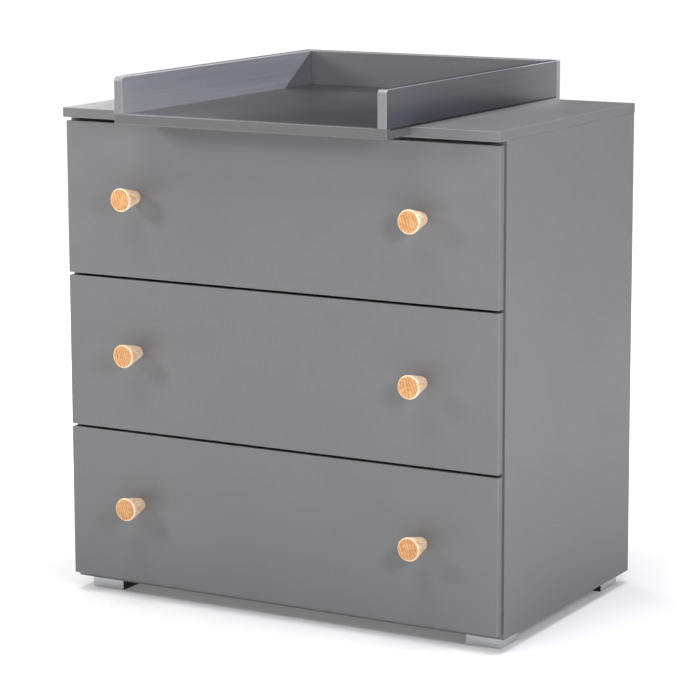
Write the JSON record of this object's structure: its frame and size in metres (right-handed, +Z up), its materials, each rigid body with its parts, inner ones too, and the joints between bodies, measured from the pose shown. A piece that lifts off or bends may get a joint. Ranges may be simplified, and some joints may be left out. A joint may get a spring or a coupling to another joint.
{
  "type": "changing table",
  "caption": "Chest with full-overlay drawers on runners, tapered wood knobs and low feet, carrying a lift-off changing tray with raised side and back rails.",
  "frame": {"origin": "on the floor, at the middle of the whole object's footprint (tray included)", "axes": "+X to the user's right, -Y towards the drawer side where the user stands, +Z up"},
  "size_m": [0.8, 0.61, 0.881],
  "materials": {
    "grey_board": "satin grey lacquer on particle board",
    "grey_hardboard": "smooth grey lacquer on hardboard",
    "drawer_board": "light grey foil on particle board",
    "knob_wood": "clear-oiled turned wood",
    "foot_plastic": "black moulded plastic",
    "foot_metal": "brushed",
    "runner_steel": "zinc-plated sheet",
    "screw_steel": "zinc-plated",
    "cam_zinc": "die-cast zinc",
    "dowel_wood": "fluted beech, unfinished"
  },
  "bodies": {
    "cabinet": {"back_panel": "grey_hardboard", "back_panel_nails": "screw_steel", "bottom_panel": "grey_board", "cabinet_dowels": "dowel_wood", "cabinet_runners_left": "runner_steel", "cabinet_runners_right": "runner_steel", "cam_bolts": "cam_zinc", "cam_housings": "cam_zinc", "foot_block_front_left": "foot_plastic", "foot_block_front_right": "foot_plastic", "foot_block_rear_left": "foot_plastic", "foot_block_rear_right": "foot_plastic", "foot_cover_front_left": "foot_metal", "foot_cover_front_right": "foot_metal", "foot_cover_rear_left": "foot_metal", "foot_cover_rear_right": "foot_metal", "foot_screws": "screw_steel", "front_stretcher": "grey_board", "rear_stretcher": "grey_board", "runner_screws": "screw_steel", "side_panel_left": "grey_board", "side_panel_right": "grey_board", "worktop": "grey_board"},
    "lower_drawer": {"lower_drawer_back": "drawer_board", "lower_drawer_bottom": "grey_hardboard", "lower_drawer_dowels": "dowel_wood", "lower_drawer_front": "grey_board", "lower_drawer_knob_left": "knob_wood", "lower_drawer_knob_right": "knob_wood", "lower_drawer_knob_screws": "screw_steel", "lower_drawer_runners": "runner_steel", "lower_drawer_side_left": "drawer_board", "lower_drawer_side_right": "drawer_board"},
    "middle_drawer": {"middle_drawer_back": "drawer_board", "middle_drawer_bottom": "grey_hardboard", "middle_drawer_dowels": "dowel_wood", "middle_drawer_front": "grey_board", "middle_drawer_knob_left": "knob_wood", "middle_drawer_knob_right": "knob_wood", "middle_drawer_knob_screws": "screw_steel", "middle_drawer_runners": "runner_steel", "middle_drawer_side_left": "drawer_board", "middle_drawer_side_right": "drawer_board"},
    "upper_drawer": {"upper_drawer_back": "drawer_board", "upper_drawer_bottom": "grey_hardboard", "upper_drawer_dowels": "dowel_wood", "upper_drawer_front": "grey_board", "upper_drawer_knob_left": "knob_wood", "upper_drawer_knob_right": "knob_wood", "upper_drawer_knob_screws": "screw_steel", "upper_drawer_runners": "runner_steel", "upper_drawer_side_left": "drawer_board", "upper_drawer_side_right": "drawer_board"},
    "changing_tray": {"tray_back_rail": "grey_board", "tray_dowels": "dowel_wood", "tray_floor_panel": "grey_hardboard", "tray_front_nosing": "grey_board", "tray_rail_left": "grey_board", "tray_rail_right": "grey_board", "tray_rear_batten": "grey_board"}
  },
  "joints": [
    {"name": "lower_drawer_slide", "type": "slide", "parent": "cabinet", "child": "lower_drawer", "axis": [0, -1, 0], "range_m": [0, 0.3]},
    {"name": "middle_drawer_slide", "type": "slide", "parent": "cabinet", "child": "middle_drawer", "axis": [0, -1, 0], "range_m": [0, 0.3]},
    {"name": "upper_drawer_slide", "type": "slide", "parent": "cabinet", "child": "upper_drawer", "axis": [0, -1, 0], "range_m": [0, 0.3]},
    {"name": "changing_tray_lift", "type": "slide", "parent": "cabinet", "child": "changing_tray", "axis": [0, 0, 1], "range_m": [0, 0.2]}
  ]
}
